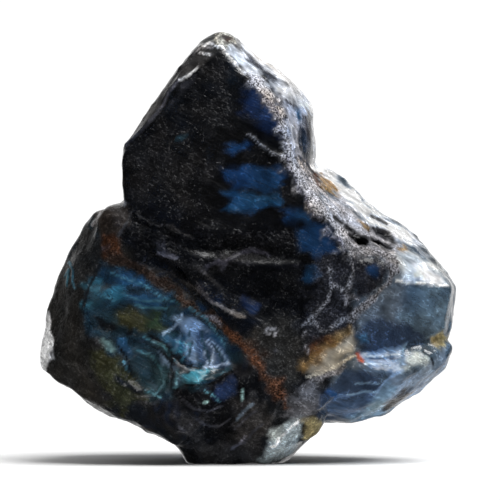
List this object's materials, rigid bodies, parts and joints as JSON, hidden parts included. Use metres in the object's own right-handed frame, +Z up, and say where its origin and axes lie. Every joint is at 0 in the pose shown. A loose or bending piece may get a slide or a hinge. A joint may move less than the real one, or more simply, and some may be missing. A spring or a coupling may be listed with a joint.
{
  "type": "rough sapphire",
  "caption": "Rough sapphire crystal: a dark pointed head on a broader broken body with shell-like fractures, ledges and a crusted crest, on a small flat spot.",
  "frame": {"origin": "middle of the small flat spot that the stone rests on", "axes": "+Z up, +X to the right as the stone faces the viewer, -Y towards the viewer, out of the big dark crystal face"},
  "size_m": [0.0082, 0.0053, 0.0085],
  "materials": {
    "sapphire": "glassy dark blue corundum with teal windows, grey crust and rust-brown stains"
  },
  "bodies": {
    "root": {"sapphire": "sapphire"}
  },
  "joints": []
}
